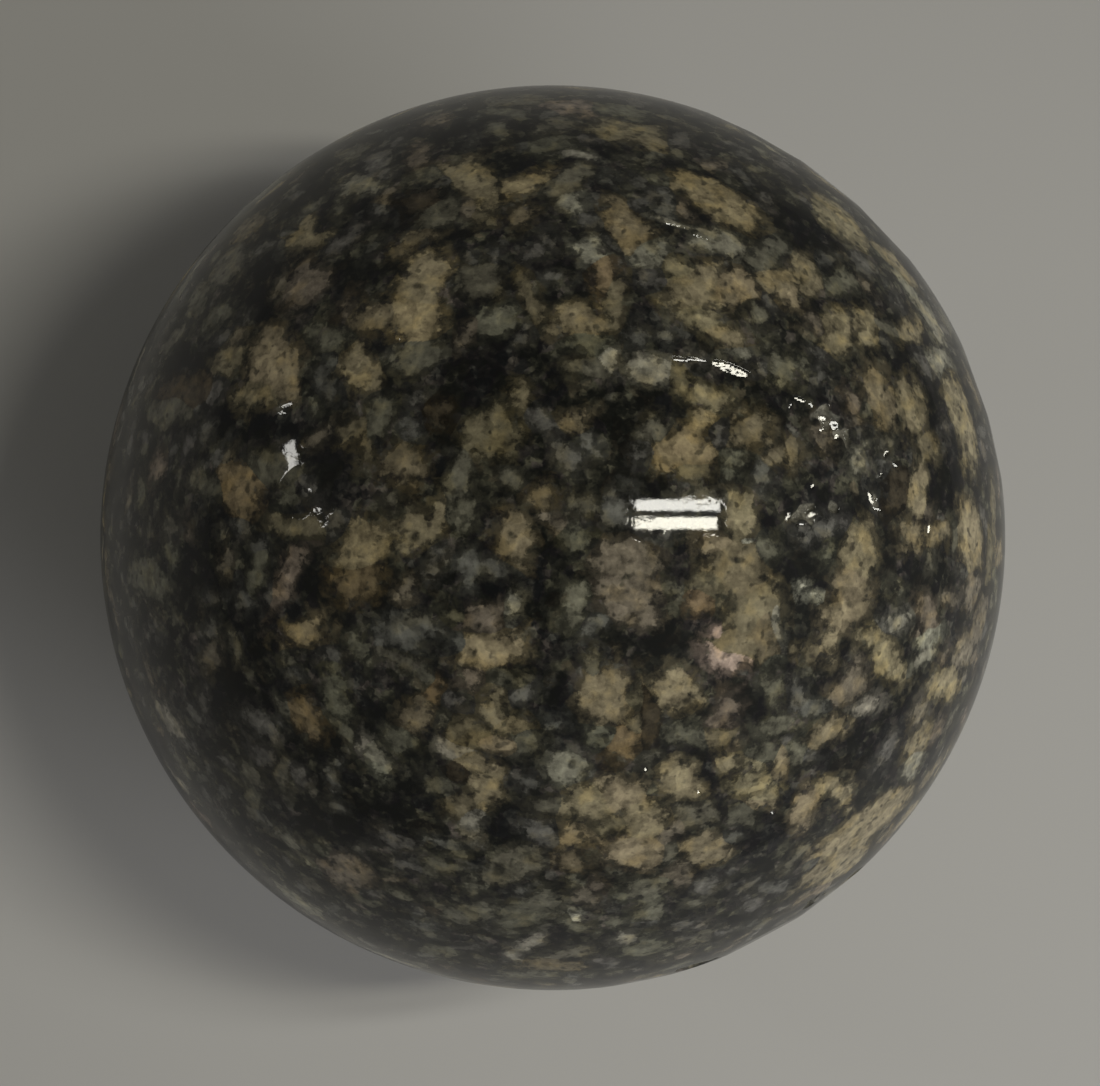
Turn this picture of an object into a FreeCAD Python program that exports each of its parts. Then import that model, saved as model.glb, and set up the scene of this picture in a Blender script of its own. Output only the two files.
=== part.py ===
# A polished stone ball, ground by hand from one lump of coarse speckled granite.
#
# It is one solid piece. The ball stands on its lowest point, which is the origin, and +Z is up.
# A place on its surface is given as a longitude and a latitude about the centre of the ball:
# longitude 0 is +X, longitude 90 is +Y, latitude 90 is the top. Lengths are in millimetres.
#
# Three kinds of feature break the true sphere:
#   flats    small, nearly flat facets that the grinding left all over the ball
#   hollows  shallow dished places, where grains were plucked out before the polish
#   chips    small sharp pits and spalls
import FreeCAD, Part
import math
import os

NODE = "stone_ball"

# Driving dimensions: alias, value, what it is.
SIZES = [
    ("ball_radius", 50.0, "radius of the ball as polished"),
    ("disc_radius", 14.0, "radius of the disc that grinds a flat"),
    ("disc_height", 4.0, "thickness of that disc"),
    ("flat_depth_light", 0.05, "how far below the sphere a light flat lies"),
    ("flat_depth_medium", 0.08, "the same for a medium flat"),
    ("flat_depth_heavy", 0.12, "the same for a heavy flat"),
]

# The flats that were ground last, in two rows near the widest part of the ball:
# name, longitude, latitude, depth.
ROW_FLATS = [
    ("right_flat_a", 11.0, 25.0, 0.14),
    ("right_flat_b", 19.0, 25.0, 0.20),
    ("right_flat_c", 45.0, 26.0, 0.22),
    ("right_flat_d", 54.0, 26.0, 0.26),
    ("right_flat_e", 63.0, 25.0, 0.20),
    ("right_flat_f", 69.0, 24.0, 0.12),
    ("front_flat_a", -80.0, 6.0, 0.12),
    ("front_flat_b", -64.0, 10.0, 0.24),
    ("front_flat_c", -55.0, 12.0, 0.16),
]

# The hollows: name, longitude, latitude, width across the mouth, depth.
HOLLOWS = [
    ("upper_hollow", 50.0, 81.0, 11.0, 0.42),
    ("left_hollow", -174.0, 51.0, 7.0, 0.20),
    ("right_hollow", 2.0, 62.0, 6.0, 0.17),
    ("back_hollow", 118.0, 8.0, 9.0, 0.30),
    ("under_hollow", -140.0, -38.0, 10.0, 0.34),
]

# The chips: name, longitude, latitude, width across the mouth, depth.
CHIPS = [
    ("upper_chip_a", 16.0, 70.0, 2.6, 0.45),
    ("upper_chip_b", 10.0, 67.5, 2.0, 0.40),
    ("middle_chip_a", -18.0, 72.5, 2.2, 0.45),
    ("middle_chip_b", -12.0, 69.5, 1.5, 0.30),
    ("edge_chip", -7.0, 64.0, 1.4, 0.30),
    ("front_chip_a", -52.0, 15.0, 3.6, 0.55),
    ("front_chip_b", -59.0, 19.0, 2.4, 0.40),
    ("front_chip_c", -74.0, 10.5, 4.5, 0.60),
    ("side_chip", 172.0, -6.0, 2.8, 0.45),
    ("back_chip_a", 84.0, -22.0, 3.2, 0.50),
    ("back_chip_b", 78.0, -19.0, 1.8, 0.35),
    ("under_chip", 25.0, -55.0, 2.6, 0.45),
]

# The older flats are spread evenly over the whole ball, each turned from the last by the golden
# angle. The spread stops short of the lowest point, where the ball stands.
SPREAD_FLATS = 30
GOLDEN_ANGLE = 180.0 * (3.0 - math.sqrt(5.0))
DEPTH_ALIASES = ["flat_depth_light", "flat_depth_medium", "flat_depth_heavy"]


def fill_sheet(doc):
    """Write every driving dimension into one sheet, a row each, with its name as the alias."""
    sheet = doc.addObject("Spreadsheet::Sheet", "Sizes")
    rows = list(SIZES)
    for name, lon, lat, depth in ROW_FLATS:
        rows.append((name + "_lon", lon, "longitude of " + name))
        rows.append((name + "_lat", lat, "latitude of " + name))
        rows.append((name + "_depth", depth, "depth of " + name))
    for name, lon, lat, width, depth in HOLLOWS + CHIPS:
        rows.append((name + "_lon", lon, "longitude of " + name))
        rows.append((name + "_lat", lat, "latitude of " + name))
        rows.append((name + "_width", width, "width of " + name))
        rows.append((name + "_depth", depth, "depth of " + name))
    for row, (alias, value, meaning) in enumerate(rows, start=1):
        sheet.set("A%d" % row, alias)
        sheet.set("B%d" % row, str(value))
        sheet.set("C%d" % row, meaning)
        sheet.setAlias("B%d" % row, alias)
    doc.recompute()
    return sheet


def place_outward(obj, lon, lat, distance):
    """Bind the placement: the origin of obj at a distance from the centre of the ball along a
    longitude and latitude, with its own Z axis pointing straight out of the ball. Each argument
    is the text of an expression, and the sheet's sines and cosines take degrees."""
    x = "({d}) * cos({lat}) * cos({lon})".format(d=distance, lat=lat, lon=lon)
    y = "({d}) * cos({lat}) * sin({lon})".format(d=distance, lat=lat, lon=lon)
    z = "Sizes.ball_radius + ({d}) * sin({lat})".format(d=distance, lat=lat)
    vector = "create(<<vector>>; {x}; {y}; {z})".format(x=x, y=y, z=z)
    turn = "create(<<rotation>>; {lon}; 90 - {lat}; 0)".format(lon=lon, lat=lat)
    obj.setExpression("Placement", "create(<<placement>>; {v}; {t})".format(v=vector, t=turn))


def flat_cutter(doc, name, lon, lat, depth):
    """A disc whose lower face lies a depth below the sphere, square to the radius."""
    disc = doc.addObject("Part::Cylinder", name)
    disc.setExpression("Radius", "Sizes.disc_radius")
    disc.setExpression("Height", "Sizes.disc_height")
    place_outward(disc, lon, lat, "Sizes.ball_radius - " + depth)
    return disc


def dish_cutter(doc, name):
    """A ball-nosed cutter that sinks to a depth and leaves a mouth of a width.

    Over half the width, the ball falls away by width^2 / 8R and the cutter rises by width^2 / 8r,
    and together that is the depth, which gives the radius r of the cutter."""
    width = "Sizes.{0}_width".format(name)
    depth = "Sizes.{0}_depth".format(name)
    nose = "1 / (8 * {depth} / {width} ^ 2 - 1 / Sizes.ball_radius)".format(depth=depth, width=width)
    ball = doc.addObject("Part::Sphere", name)
    ball.setExpression("Radius", nose)
    distance = "Sizes.ball_radius + {nose} - {depth}".format(nose=nose, depth=depth)
    place_outward(ball, "Sizes.{0}_lon".format(name), "Sizes.{0}_lat".format(name), distance)
    return ball


def make_cutters(doc):
    """Every cutter of every flat, hollow and chip."""
    cutters = []
    for name, _, _, _ in ROW_FLATS:
        lon, lat, depth = ("Sizes.{0}_{1}".format(name, key) for key in ("lon", "lat", "depth"))
        cutters.append(flat_cutter(doc, name, lon, lat, depth))
    for count in range(SPREAD_FLATS):
        # The height of each flat falls by equal steps, so the flats are spread by equal areas.
        height = 1.0 - (2.0 * count + 1.0) / (SPREAD_FLATS + 1.0)
        lon = "{0:.3f}".format(count * GOLDEN_ANGLE % 360.0)
        lat = "({0:.3f})".format(math.degrees(math.asin(height)))
        depth = "Sizes." + DEPTH_ALIASES[count % len(DEPTH_ALIASES)]
        cutters.append(flat_cutter(doc, "spread_flat_%02d" % (count + 1), lon, lat, depth))
    for name, _, _, _, _ in HOLLOWS + CHIPS:
        cutters.append(dish_cutter(doc, name))
    return cutters


def make_ball(doc):
    """The blank sphere, less all the cutters."""
    blank = doc.addObject("Part::Sphere", "blank")
    blank.setExpression("Radius", "Sizes.ball_radius")
    blank.setExpression("Placement.Base.z", "Sizes.ball_radius")
    grinding = doc.addObject("Part::MultiFuse", "grinding")
    grinding.Shapes = make_cutters(doc)
    ball = doc.addObject("Part::Cut", NODE)
    ball.Base = blank
    ball.Tool = grinding
    ball.Label = NODE
    return ball


def check_document(doc):
    """Stop on any object that failed to compute, because a recompute does not raise."""
    for obj in doc.Objects:
        for state in obj.State:
            if state in ("Invalid", "Error"):
                raise RuntimeError("{0} is {1}".format(obj.Name, state))


def check_ball(ball, sheet):
    """Stop if the ball is not one sound solid, a little smaller than the true sphere."""
    shape = ball.Shape
    if shape.isNull() or not shape.isValid() or len(shape.Solids) != 1:
        raise RuntimeError(ball.Label + " is not one valid solid")
    radius = float(sheet.get("ball_radius"))
    share = shape.Volume / (4.0 / 3.0 * math.pi * radius ** 3)
    if not 0.99 < share < 1.0:
        raise RuntimeError("the cutters took the wrong amount: %.4f is left" % share)
    box = shape.BoundBox
    print("%s: %.1f mm3, %.2f%% of the sphere" % (ball.Label, shape.Volume, 100.0 * share))
    print("box %.3f..%.3f  %.3f..%.3f  %.3f..%.3f" % (
        box.XMin, box.XMax, box.YMin, box.YMax, box.ZMin, box.ZMax))


def main():
    doc = FreeCAD.newDocument("StoneBall")
    sheet = fill_sheet(doc)
    ball = make_ball(doc)
    doc.recompute()
    check_document(doc)
    check_ball(ball, sheet)
    os.makedirs("parts", exist_ok=True)
    ball.Shape.exportStep(os.path.join("parts", NODE + ".step"))


main()
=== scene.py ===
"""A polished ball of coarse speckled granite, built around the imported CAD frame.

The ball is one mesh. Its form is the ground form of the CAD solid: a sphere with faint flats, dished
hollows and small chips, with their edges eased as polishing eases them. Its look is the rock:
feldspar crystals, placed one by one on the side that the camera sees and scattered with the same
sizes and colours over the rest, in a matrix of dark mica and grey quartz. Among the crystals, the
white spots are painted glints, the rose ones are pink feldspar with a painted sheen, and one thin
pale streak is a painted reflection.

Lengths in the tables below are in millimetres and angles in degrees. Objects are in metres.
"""
import math

import bmesh
import bpy
import numpy as np
from mathutils import Matrix, Vector


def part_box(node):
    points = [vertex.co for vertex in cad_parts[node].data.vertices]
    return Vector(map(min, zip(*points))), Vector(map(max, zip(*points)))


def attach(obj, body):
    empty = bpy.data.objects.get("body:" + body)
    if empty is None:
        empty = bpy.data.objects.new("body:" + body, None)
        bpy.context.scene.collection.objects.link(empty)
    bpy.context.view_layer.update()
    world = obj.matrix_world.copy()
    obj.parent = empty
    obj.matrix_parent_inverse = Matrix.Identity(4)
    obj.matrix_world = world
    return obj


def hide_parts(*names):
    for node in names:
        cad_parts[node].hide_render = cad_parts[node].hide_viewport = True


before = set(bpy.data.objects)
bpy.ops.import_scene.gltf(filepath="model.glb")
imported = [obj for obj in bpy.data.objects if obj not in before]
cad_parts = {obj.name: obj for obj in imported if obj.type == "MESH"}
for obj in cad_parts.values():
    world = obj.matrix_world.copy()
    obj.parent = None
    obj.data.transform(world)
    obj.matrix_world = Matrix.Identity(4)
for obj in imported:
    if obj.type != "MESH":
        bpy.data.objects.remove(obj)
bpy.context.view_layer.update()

MM = 0.001
NODE = "stone_ball"

# ---------------- the ball's place, from the frame

LOW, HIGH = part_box(NODE)
RADIUS = (HIGH.z - LOW.z) / 2 / MM
CENTRE = np.array((0.0, 0.0, (HIGH.z + LOW.z) / 2))

# ---------------- the camera

# The camera looks almost straight down. This is the way from the ball to it.
CAMERA_WAY = (-0.198, -0.153, 0.968)
# Its distance from the centre of the ball, in radii.
CAMERA_RADII = 5.0
# The outline of the ball spans this share of the width of the image.
OUTLINE_SHARE = 0.8227
# The centre of the ball stands this far right of and above the middle of the image, in mm.
OFF_MIDDLE = (0.30, 0.57)


def unit(vector):
    vector = np.asarray(vector, float)
    return vector / np.linalg.norm(vector)


# Unit vectors from the ball towards the camera, and to the right and up in the image.
TOWARD = unit(CAMERA_WAY)
RIGHT = unit(np.cross((0.0, 1.0, 0.0), TOWARD))
UP = np.cross(TOWARD, RIGHT)
# The outline of the ball is a cone from the camera with this slope.
OUTLINE_SLOPE = math.tan(math.asin(1.0 / CAMERA_RADII))


def in_view(right, up, toward):
    """The unit vector with these parts to the right, up and towards the camera."""
    return unit(right * RIGHT + up * UP + toward * TOWARD)


def seen_at(right, up):
    """The unit vector, from the centre of the ball, to the point that the camera sees at a place on
    the outline disc: a disc as wide as the ball, with (0, 0) at its middle and lengths in mm."""
    reach = math.hypot(right, up)
    if reach == 0.0:
        return TOWARD
    off_axis = math.atan(min(reach / RADIUS, 0.999) * OUTLINE_SLOPE)
    from_axis = math.asin(CAMERA_RADII * math.sin(off_axis)) - off_axis
    sideways = (right * RIGHT + up * UP) / reach
    return math.cos(from_axis) * TOWARD + math.sin(from_axis) * sideways


def add_object(name, data):
    added = bpy.data.objects.new(name, data)
    bpy.context.collection.objects.link(added)
    return added


def add_camera():
    data = bpy.data.cameras.new("camera")
    camera = add_object("camera", data)
    data.sensor_fit = "HORIZONTAL"
    data.sensor_width = 36.0
    data.lens = data.sensor_width / 2 * OUTLINE_SHARE / OUTLINE_SLOPE
    data.clip_start = 0.01
    data.clip_end = 20.0
    place = CENTRE + CAMERA_RADII * RADIUS * MM * TOWARD
    target = CENTRE - (OFF_MIDDLE[0] * RIGHT + OFF_MIDDLE[1] * UP) * MM
    back = unit(place - target)
    right = unit(np.cross(UP, back))
    turn = Matrix((right, np.cross(back, right), back)).transposed()
    camera.matrix_world = Matrix.Translation(Vector(place)) @ turn.to_4x4()
    bpy.context.scene.camera = camera


# ---------------- shapes placed on the outline disc

# Near the outline the disc squeezes what it shows. Shapes there are stretched back, up to this.
MOST_STRETCH = 3.0


def across_matrix(first, second):
    """The 2 by 3 matrix that turns an offset into its shares of the two half axes."""
    return np.linalg.pinv(np.column_stack((first, second)))


def seen_shape(right, up, half_length, half_width, turn=0.0, growth=1.0):
    """A shape on the disc: its middle, as a unit vector, its matrix and its mean half size."""
    step = 0.05
    by_right = (seen_at(right + step, up) - seen_at(right - step, up)) * RADIUS / (2.0 * step)
    by_up = (seen_at(right, up + step) - seen_at(right, up - step)) * RADIUS / (2.0 * step)
    left, stretch, turned = np.linalg.svd(np.column_stack((by_right, by_up)), full_matrices=False)
    disc_to_ball = left @ np.diag(np.minimum(stretch, MOST_STRETCH)) @ turned
    cosine, sine = math.cos(math.radians(turn)), math.sin(math.radians(turn))
    first = disc_to_ball @ np.array((cosine, sine)) * half_length * growth
    second = disc_to_ball @ np.array((-sine, cosine)) * half_width * growth
    size = math.sqrt(np.linalg.norm(first) * np.linalg.norm(second))
    return seen_at(right, up), across_matrix(first, second), size


class SortedWays:
    """Ways kept in order of height, so that those near a place are found quickly."""

    def __init__(self, ways):
        self.order = np.argsort(ways[:, 2])
        self.ways = ways[self.order]

    def near(self, middle, reach):
        """The places in the first list of the ways within reach of the middle, and those ways."""
        low, high = np.searchsorted(self.ways[:, 2], (middle[2] - reach, middle[2] + reach))
        close = self.ways[low:high] @ middle > 1.0 - reach * reach / 2.0
        return self.order[low:high][close], self.ways[low:high][close]


def depth_inside(sorted_ways, middle, matrix, size, power):
    """How deep each way lies inside an outline, in mm at its middle: negative outside it."""
    reach = 2.2 * size * max(1.0, 1.0 / (size * np.linalg.norm(matrix, 2))) + 4.0
    near, ways = sorted_ways.near(middle, reach / RADIUS)
    shares = np.abs((ways - middle) * RADIUS @ matrix.T)
    return near, (1.0 - (shares ** power).sum(axis=1) ** (1.0 / power)) * size


# ---------------- the lamps, by their reflections

# Two long lamps lie side by side above the ball, and a third stands on the left. Their distance
# from the centre of the ball, in metres.
LAMP_DISTANCE = 0.4
# Each lamp is given by its reflection in the ball, on the outline disc: its middle, its length and
# thickness in mm, and its turn. Then come the lamp's brightness and colour.
LAMPS = {
    "upper": ((13.9, 3.62), 9.4, 1.20, 0.0, 31.0, (1.0, 0.985, 0.90)),
    "lower": ((13.6, 1.66), 9.4, 1.30, 0.0, 39.0, (1.0, 0.965, 0.82)),
    "left": ((-28.6, 8.0), 5.2, 1.1, 103.0, 15.0, (1.0, 0.98, 0.92)),
}


def mirrored(right, up):
    """Where a lamp has to be for the camera to see it reflected at a place on the outline disc, in
    mm from the centre of the ball."""
    normal = seen_at(right, up)
    point = normal * RADIUS
    to_camera = unit(CAMERA_RADII * RADIUS * TOWARD - point)
    away = 2.0 * (normal @ to_camera) * normal - to_camera
    distance = LAMP_DISTANCE / MM
    along = point @ away
    reach = math.sqrt(along ** 2 + distance ** 2 - RADIUS ** 2) - along
    return point + reach * away


# ---------------- the ground form

# The CAD solid's own flats in two rows: longitude, latitude and depth.
ROW_FLATS = [
    (11.0, 25.0, 0.14), (19.0, 25.0, 0.20), (45.0, 26.0, 0.22), (54.0, 26.0, 0.26),
    (63.0, 25.0, 0.20), (69.0, 24.0, 0.12), (-80.0, 6.0, 0.12), (-64.0, 10.0, 0.24),
    (-55.0, 12.0, 0.16),
]
# Its older flats, which are spread evenly over the ball by the golden angle.
SPREAD_FLATS = 30
SPREAD_DEPTHS = (0.05, 0.08, 0.12)
GOLDEN_ANGLE = 180.0 * (3.0 - math.sqrt(5.0))
# Its hollows and chips: longitude, latitude, width across the mouth and depth.
HOLLOWS = [
    (50.0, 81.0, 11.0, 0.42), (-174.0, 51.0, 7.0, 0.20), (2.0, 62.0, 6.0, 0.17),
    (118.0, 8.0, 9.0, 0.30), (-140.0, -38.0, 10.0, 0.34),
]
CHIPS = [
    (16.0, 70.0, 2.6, 0.45), (10.0, 67.5, 2.0, 0.40), (-18.0, 72.5, 2.2, 0.45),
    (-12.0, 69.5, 1.5, 0.30), (-7.0, 64.0, 1.4, 0.30), (-52.0, 15.0, 3.6, 0.55),
    (-59.0, 19.0, 2.4, 0.40), (-74.0, 10.5, 4.5, 0.60), (172.0, -6.0, 2.8, 0.45),
    (84.0, -22.0, 3.2, 0.50), (78.0, -19.0, 1.8, 0.35), (25.0, -55.0, 2.6, 0.45),
]
# Small flat facets, up to about 0.6 mm deep, where the stone has spalled, at the slant that
# mirrors a lamp to the camera: right, up, half length, half width and turn on the outline disc, and
# the lamp.
GLINTS = [
    (19.9, 18.8, 2.3, 0.42, -22.0, "lower"), (15.2, 19.8, 2.3, 0.14, -3.0, "upper"),
    (30.2, 13.4, 0.45, 0.28, -30.0, "lower"), (31.2, 12.5, 0.60, 0.42, -60.0, "upper"),
    (31.5, 11.2, 0.45, 0.28, 70.0, "lower"), (29.8, 12.0, 0.30, 0.20, 0.0, "lower"),
    (27.4, 15.3, 0.90, 0.14, -28.0, "lower"), (26.3, 14.6, 0.40, 0.13, 80.0, "upper"),
    (28.6, 14.7, 0.50, 0.13, -50.0, "upper"), (26.0, 2.4, 0.65, 0.15, 75.0, "lower"),
    (28.8, 2.6, 0.42, 0.34, 20.0, "lower"), (27.6, 1.5, 0.80, 0.13, 8.0, "upper"),
    (28.7, 5.7, 0.32, 0.16, 70.0, "lower"), (35.2, 4.4, 0.85, 0.20, 105.0, "lower"),
    (36.0, 3.2, 0.45, 0.16, 150.0, "upper"), (37.0, 9.4, 0.42, 0.18, 70.0, "lower"),
    (38.0, 8.1, 0.36, 0.15, -60.0, "upper"), (36.5, 7.0, 0.45, 0.13, 70.0, "lower"),
    (-26.2, 3.1, 0.55, 0.34, 10.0, "left"), (-27.0, 5.4, 0.25, 0.20, 0.0, "left"),
    (-29.4, 14.6, 0.90, 0.13, 20.0, "left"), (-29.8, 13.8, 0.60, 0.12, 10.0, "left"),
    (10.3, -25.7, 0.22, 0.18, 0.0, "lower"), (16.2, -28.2, 0.22, 0.18, 0.0, "lower"),
    (24.3, -30.4, 0.25, 0.18, 0.0, "upper"), (41.6, 0.9, 0.70, 0.13, 85.0, "lower"),
    (-17.0, 22.0, 0.20, 0.14, 0.0, "left"), (13.5, 34.6, 1.60, 0.10, -16.0, "upper"),
    (16.5, 33.2, 1.60, 0.10, -24.0, "upper"),
]
# The facets lie this much below the surface at their highest. They are this uneven, over this length.
GLINT_DROP = 0.015
GLINT_UNEVEN = 0.002
GLINT_UNEVEN_LENGTH = 0.6
# How far polishing has rounded the rims of the flats and hollows, and of the chips.
GROUND_EASE = 0.03
CHIP_EASE = 0.02
# The broken stone in a chip: how rough it is, and the length of the bumps.
CHIP_ROUGH = 0.10
CHIP_GRAIN = 0.9
# The outlines of chips wander by this much, over this length.
CHIP_WANDER = 0.30
CHIP_WANDER_LENGTH = 2.0


def outward(lon, lat):
    """The unit vector that points out of the ball at a longitude and latitude."""
    lon, lat = math.radians(lon), math.radians(lat)
    return np.array((math.cos(lat) * math.cos(lon), math.cos(lat) * math.sin(lon), math.sin(lat)))


def soft_least(a, b, ease):
    """The smaller of a and b, with the crease between them rounded."""
    share = np.clip(0.5 + 0.5 * (b - a) / ease, 0.0, 1.0)
    return b + (a - b) * share - ease * share * (1.0 - share)


def all_flats():
    """The axis and depth of every flat."""
    flats = [(outward(lon, lat), depth) for lon, lat, depth in ROW_FLATS]
    for count in range(SPREAD_FLATS):
        height = 1.0 - (2.0 * count + 1.0) / (SPREAD_FLATS + 1.0)
        axis = outward(count * GOLDEN_ANGLE, math.degrees(math.asin(height)))
        flats.append((axis, SPREAD_DEPTHS[count % len(SPREAD_DEPTHS)]))
    return flats


def dish_radius(ways, axis, width, depth):
    """How far from the centre the dish that a ball-nosed cutter leaves is, along each way. Ways
    that miss the cutter give a length beyond the ball."""
    nose = 1.0 / (8.0 * depth / width ** 2 - 1.0 / RADIUS)
    reach = RADIUS + nose - depth
    along = reach * (ways @ axis)
    inside = along ** 2 - (reach ** 2 - nose ** 2)
    near = along - np.sqrt(np.maximum(inside, 0.0))
    return np.where((inside > 0.0) & (along > 0.0), near, 2.0 * RADIUS)


def waves(points, length, count, seed):
    """A smooth random field of about unit size: plane waves of lengths about the one given."""
    draw = np.random.default_rng(seed)
    total = np.zeros(len(points))
    for _ in range(count):
        pace = unit(draw.normal(size=3)) * 2.0 * math.pi / (length * draw.uniform(0.7, 1.5))
        total += np.sin(points @ pace + draw.uniform(0.0, 2.0 * math.pi))
    return total * math.sqrt(2.0 / count)


def wandered(ways, amount, length, seed):
    """The ways, each moved sideways on the ball by a smooth random field."""
    drift = np.stack([waves(ways * RADIUS, length, 16, seed + part) for part in range(3)], axis=1)
    moved = ways + drift * amount / RADIUS
    return moved / np.linalg.norm(moved, axis=1)[:, None]


def chip_share(ways):
    """How far inside a chip each way is: 0 at the rim and outside, 1 at the middle."""
    ways = wandered(ways, CHIP_WANDER, CHIP_WANDER_LENGTH, 31)
    share = np.zeros(len(ways))
    for lon, lat, width, _ in CHIPS:
        off = np.linalg.norm(ways - outward(lon, lat), axis=1) * RADIUS
        share = np.maximum(share, 1.0 - off / (width / 2.0))
    return share


def glint_normal(middle, lamp_name):
    """The normal that mirrors a lamp to the camera from a place on the ball."""
    point = middle * RADIUS
    to_lamp = unit(mirrored(*LAMPS[lamp_name][0]) - point)
    to_camera = unit(CAMERA_RADII * RADIUS * TOWARD - point)
    return unit(to_lamp + to_camera)


def cut_glints(ways, radius):
    """Cut the facets of the glints into the radius. Returns which points lie on a facet."""
    cut = np.zeros(len(ways), bool)
    uneven = GLINT_UNEVEN * waves(ways * RADIUS, GLINT_UNEVEN_LENGTH, 14, 41)
    sorted_ways = SortedWays(ways)
    for *outline, lamp_name in GLINTS:
        middle, matrix, size = seen_shape(*outline)
        normal = glint_normal(middle, lamp_name)
        facing = normal @ middle
        slant = (normal - facing * middle) / facing
        rise = np.linalg.norm(np.linalg.pinv(matrix).T @ slant)
        bulge = max(outline[2:4]) ** 2 / (2.0 * RADIUS)
        level = ground_radius(middle[None])[0] - rise - bulge - GLINT_DROP
        near, inside = depth_inside(sorted_ways, middle, matrix, size, 2.0)
        plane = level * facing / (ways[near] @ normal) + uneven[near]
        radius[near] = np.where(inside > 0.0, plane, radius[near])
        cut[near[inside > 0.0]] = True
    return cut


def ground_radius(ways):
    """The radius of the ground ball along each way, before the glints are cut."""
    radius = np.full(len(ways), RADIUS)
    for axis, depth in all_flats():
        facing = np.maximum(ways @ axis, 0.5)
        radius = soft_least(radius, (RADIUS - depth) / facing, GROUND_EASE)
    for lon, lat, width, depth in HOLLOWS:
        radius = soft_least(radius, dish_radius(ways, outward(lon, lat), width, depth), GROUND_EASE)
    ragged = wandered(ways, CHIP_WANDER, CHIP_WANDER_LENGTH, 31)
    for lon, lat, width, depth in CHIPS:
        radius = soft_least(radius, dish_radius(ragged, outward(lon, lat), width, depth), CHIP_EASE)
    broken = np.abs(waves(ways * RADIUS, CHIP_GRAIN, 14, 5))
    radius -= CHIP_ROUGH * broken * np.clip(3.0 * chip_share(ways), 0.0, 1.0)
    return radius


# ---------------- the mesh

# Squares along each side of each face of the cube that is blown up into the ball.
GRID = 120
# Drawing the points together makes the mesh this many times finer where the camera looks.
SEEN_FINER = 1.35
# Every square is then cut again, by this many lines each way.
CUTS = 3


def cube_ball():
    """Unit vectors and squares of a cube that is cut by a grid and blown up into a ball."""
    steps = np.tan(np.linspace(-math.pi / 4, math.pi / 4, GRID + 1))
    across, along = (sheet.ravel() for sheet in np.meshgrid(steps, steps, indexing="ij"))
    row, column = (sheet.ravel() for sheet in np.meshgrid(range(GRID), range(GRID), indexing="ij"))
    corner = row * (GRID + 1) + column
    square = np.stack((corner, corner + GRID + 1, corner + GRID + 2, corner + 1), axis=1)
    points, squares = [], []
    for axis in range(3):
        for side in (1.0, -1.0):
            face = np.empty((len(across), 3))
            face[:, axis] = side
            face[:, (axis + 1) % 3] = across
            face[:, (axis + 2) % 3] = along
            squares.append((square if side > 0 else square[:, ::-1]) + len(points) * len(across))
            points.append(face)
    points = np.concatenate(points)
    points /= np.linalg.norm(points, axis=1)[:, None]
    _, first, joined = np.unique(points.round(7), axis=0, return_index=True, return_inverse=True)
    return points[first], joined.ravel()[np.concatenate(squares)]


def gather(points):
    """Draw points on the unit ball together on the side that the camera sees, by a map that keeps
    squares square."""
    pull = (SEEN_FINER ** 2 - 1.0) / (SEEN_FINER ** 2 + 1.0)
    height = (points @ TOWARD)[:, None]
    around = points - height * TOWARD
    return ((height + pull) * TOWARD + math.sqrt(1.0 - pull ** 2) * around) / (1.0 + pull * height)


def shade_flat(mesh, chosen):
    """Shade the mesh smoothly, but flat on each polygon whose points are all chosen."""
    corners = np.empty(len(mesh.loops), np.int32)
    mesh.loops.foreach_get("vertex_index", corners)
    starts = np.empty(len(mesh.polygons), np.int32)
    mesh.polygons.foreach_get("loop_start", starts)
    flat = np.minimum.reduceat(chosen[corners].astype(np.int8), starts) == 1
    mesh.polygons.foreach_set("use_smooth", np.logical_not(flat))


def make_ball():
    """The mesh of the ball, with its points on the ground form. Returns the object and the way to
    each of its points."""
    points, squares = cube_ball()
    points = gather(points)
    work = bmesh.new()
    corners = [work.verts.new(point) for point in points]
    for square in squares:
        work.faces.new([corners[index] for index in square])
    bmesh.ops.subdivide_edges(work, edges=work.edges[:], cuts=CUTS, use_grid_fill=True)
    bmesh.ops.recalc_face_normals(work, faces=work.faces)
    mesh = bpy.data.meshes.new("granite_ball")
    work.to_mesh(mesh)
    work.free()
    ways = np.empty(len(mesh.vertices) * 3)
    mesh.vertices.foreach_get("co", ways)
    ways = ways.reshape(-1, 3)
    ways /= np.linalg.norm(ways, axis=1)[:, None]
    radius = ground_radius(ways)
    cut = cut_glints(ways, radius)
    mesh.vertices.foreach_set("co", (ways * radius[:, None] * MM + CENTRE).ravel())
    shade_flat(mesh, cut)
    mesh.update()
    return add_object("granite_ball", mesh), ways


# ---------------- the crystals

# Base colours of the crystals, as linear red, green and blue.
CRYSTAL_COLORS = {
    "cream": (0.313, 0.266, 0.170),
    "yellow": (0.354, 0.289, 0.174),
    "orange": (0.271, 0.207, 0.121),
    "tan": (0.223, 0.190, 0.123),
    "olive": (0.167, 0.160, 0.120),
    "pale": (0.336, 0.319, 0.252),
    "pink": (0.237, 0.196, 0.152),
    # The rose kind is pink feldspar with a painted sheen: its colour is lightened to paint the shine of a
    # cleavage face.
    "rose": (0.569, 0.431, 0.365),
    "dun": (0.216, 0.185, 0.139),
    "brown": (0.078, 0.064, 0.043),
    "grey": (0.153, 0.148, 0.131),
    # The white kind is painted glints: small near-white spots where the lamps glint on the polished stone.
    "white": (0.725, 0.698, 0.562),
}
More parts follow.
